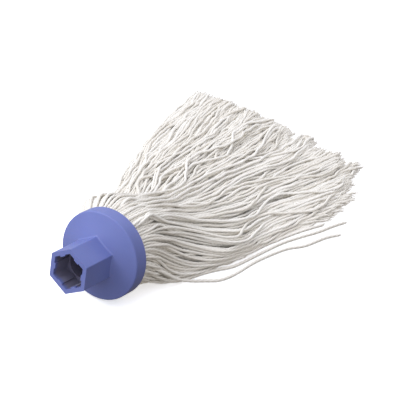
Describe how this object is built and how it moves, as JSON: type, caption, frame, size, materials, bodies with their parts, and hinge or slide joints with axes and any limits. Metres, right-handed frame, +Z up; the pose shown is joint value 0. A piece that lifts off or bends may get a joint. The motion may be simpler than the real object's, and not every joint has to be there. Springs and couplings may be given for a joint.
{
  "type": "string mop head",
  "caption": "String mop head: a moulded hexagonal handle socket with a round flange, holding a folded bundle of twisted cotton yarn that lies fanned out.",
  "frame": {"origin": "on the surface the head lies on, under the middle of the head without its loose strands", "axes": "+X away from the socket's mouth and along the yarn, +Z up, +Y to the left when looking along the yarn"},
  "size_m": [0.3494, 0.2345, 0.0769],
  "materials": {
    "cap_plastic": "moulded polypropylene, satin",
    "clamp_plastic": "moulded, natural",
    "screw_steel": "zinc plated",
    "cotton_yarn": "twisted cotton, undyed"
  },
  "bodies": {
    "root": {"socket_cap": "cap_plastic", "clamp_plug": "clamp_plastic", "screw_washer": "screw_steel", "clamp_screw": "screw_steel", "yarn_root": "cotton_yarn", "stray_strand_1": "cotton_yarn", "stray_strand_2": "cotton_yarn", "stray_strand_3": "cotton_yarn"},
    "lock_1": {"yarn_lock_1": "cotton_yarn", "yarn_lock_1_upper": "cotton_yarn"},
    "lock_2": {"yarn_lock_2": "cotton_yarn", "yarn_lock_2_upper": "cotton_yarn"},
    "lock_3": {"yarn_lock_3": "cotton_yarn", "yarn_lock_3_upper": "cotton_yarn"},
    "lock_4": {"yarn_lock_4": "cotton_yarn", "yarn_lock_4_upper": "cotton_yarn"},
    "lock_5": {"yarn_lock_5": "cotton_yarn", "yarn_lock_5_upper": "cotton_yarn"},
    "lock_6": {"yarn_lock_6": "cotton_yarn", "yarn_lock_6_upper": "cotton_yarn"},
    "lock_7": {"yarn_lock_7": "cotton_yarn", "yarn_lock_7_upper": "cotton_yarn"}
  },
  "joints": [
    {"name": "lift_1", "type": "hinge", "parent": "root", "child": "lock_1", "pos_m": [-0.071, -0.03075, 0.03], "axis": [0, -1, 0], "range_deg": [0, 60]},
    {"name": "lift_2", "type": "hinge", "parent": "root", "child": "lock_2", "pos_m": [-0.071, -0.023, 0.03], "axis": [0, -1, 0], "range_deg": [0, 60]},
    {"name": "lift_3", "type": "hinge", "parent": "root", "child": "lock_3", "pos_m": [-0.071, -0.014, 0.03], "axis": [0, -1, 0], "range_deg": [0, 60]},
    {"name": "lift_4", "type": "hinge", "parent": "root", "child": "lock_4", "pos_m": [-0.071, -0.005, 0.03], "axis": [0, -1, 0], "range_deg": [0, 60]},
    {"name": "lift_5", "type": "hinge", "parent": "root", "child": "lock_5", "pos_m": [-0.071, 0.004, 0.03], "axis": [0, -1, 0], "range_deg": [0, 60]},
    {"name": "lift_6", "type": "hinge", "parent": "root", "child": "lock_6", "pos_m": [-0.071, 0.013, 0.03], "axis": [0, -1, 0], "range_deg": [0, 60]},
    {"name": "lift_7", "type": "hinge", "parent": "root", "child": "lock_7", "pos_m": [-0.071, 0.02075, 0.03], "axis": [0, -1, 0], "range_deg": [0, 60]}
  ]
}
